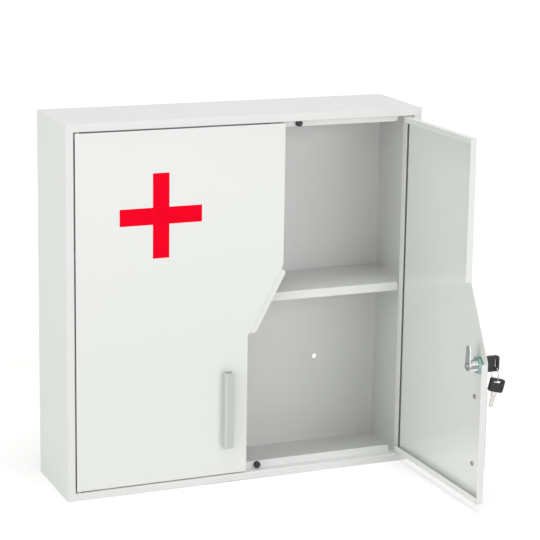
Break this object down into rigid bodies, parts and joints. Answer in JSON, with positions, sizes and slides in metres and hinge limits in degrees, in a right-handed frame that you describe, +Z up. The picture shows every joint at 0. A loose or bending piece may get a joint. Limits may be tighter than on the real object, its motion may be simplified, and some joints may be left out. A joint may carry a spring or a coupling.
{
  "type": "medicine cabinet",
  "caption": "Square wall-hung medicine cabinet of white sheet steel with an inner shelf and paired doors that lap along a stepped split, closed by a key-operated cam lock.",
  "frame": {"origin": "centre of the cabinet's back face, in the plane of the wall", "axes": "+X to the right seen from the front, +Y into the wall, +Z up; the doors face -Y"},
  "size_m": [0.6339, 0.4286, 0.6],
  "materials": {
    "cabinet_enamel": "white powder coat, satin",
    "shelf_enamel": "white powder coat, satin",
    "door_enamel": "white powder coat, glossy",
    "handle_enamel": "white powder coat, satin",
    "plug_plastic": "white moulded plastic",
    "bush_nylon": "natural nylon",
    "bumper_rubber": "matt black",
    "cross_film": "glossy red film",
    "zinc": "bright zinc plate",
    "passivated_zinc": "blue-green passivated zinc plate",
    "lock_chrome": "bright nickel-chrome plate",
    "wafer_brass": "plain brass",
    "key_steel": "nickel-plated steel",
    "bow_plastic": "black moulded plastic"
  },
  "bodies": {
    "cabinet": {"body_wrap": "cabinet_enamel", "back_panel": "cabinet_enamel", "top_stop_rail": "cabinet_enamel", "bottom_stop_rail": "cabinet_enamel", "left_jamb": "cabinet_enamel", "right_jamb": "cabinet_enamel", "shelf": "shelf_enamel", "shelf_brackets": "shelf_enamel", "side_plugs": "plug_plastic", "top_bumpers": "bumper_rubber", "bottom_bumpers": "bumper_rubber", "left_hinge_pins": "zinc", "right_hinge_pins": "zinc"},
    "left_leaf": {"left_door": "door_enamel", "lap_strip": "door_enamel", "left_hinge_bushes": "bush_nylon", "left_handle": "handle_enamel", "left_handle_screws": "zinc", "first_aid_cross": "cross_film"},
    "right_leaf": {"right_door": "door_enamel", "right_hinge_bushes": "bush_nylon", "right_handle": "handle_enamel", "right_handle_screws": "zinc", "lock_housing": "lock_chrome", "lock_washer": "passivated_zinc", "lock_nut": "passivated_zinc"},
    "plug": {"lock_plug": "lock_chrome", "wafer_tumblers": "wafer_brass", "cam": "lock_chrome", "cam_washer": "zinc", "cam_screw": "zinc"},
    "key": {"key_blade": "key_steel", "key_bow": "bow_plastic"},
    "ring": {"key_ring": "key_steel"},
    "spare_key": {"spare_key_blade": "key_steel", "spare_key_bow": "bow_plastic"}
  },
  "joints": [
    {"name": "left_door_swing", "type": "hinge", "parent": "cabinet", "child": "left_leaf", "pos_m": [-0.2805, -0.1515, 0], "axis": [0, 0, -1], "range_deg": [0, 110]},
    {"name": "right_door_swing", "type": "hinge", "parent": "cabinet", "child": "right_leaf", "pos_m": [0.2805, -0.1515, 0], "axis": [0, 0, 1], "range_deg": [-91, 19]},
    {"name": "lock_turn", "type": "hinge", "parent": "right_leaf", "child": "plug", "pos_m": [0.2884, -0.4034, -0.0655], "axis": [0.9998, 0.0175, 0], "range_deg": [0, 90]},
    {"name": "key_slide", "type": "slide", "parent": "plug", "child": "key", "axis": [0.9998, 0.0175, 0], "range_m": [0, 0.018]},
    {"name": "ring_swing", "type": "hinge", "parent": "key", "child": "ring", "pos_m": [0.31569, -0.40292, -0.07165], "axis": [0.0175, -0.9998, 0], "range_deg": [-5, 30]},
    {"name": "spare_key_swing", "type": "hinge", "parent": "ring", "child": "spare_key", "pos_m": [0.31569, -0.40292, -0.09465], "axis": [0.0175, -0.9998, 0], "range_deg": [0, 30]}
  ]
}
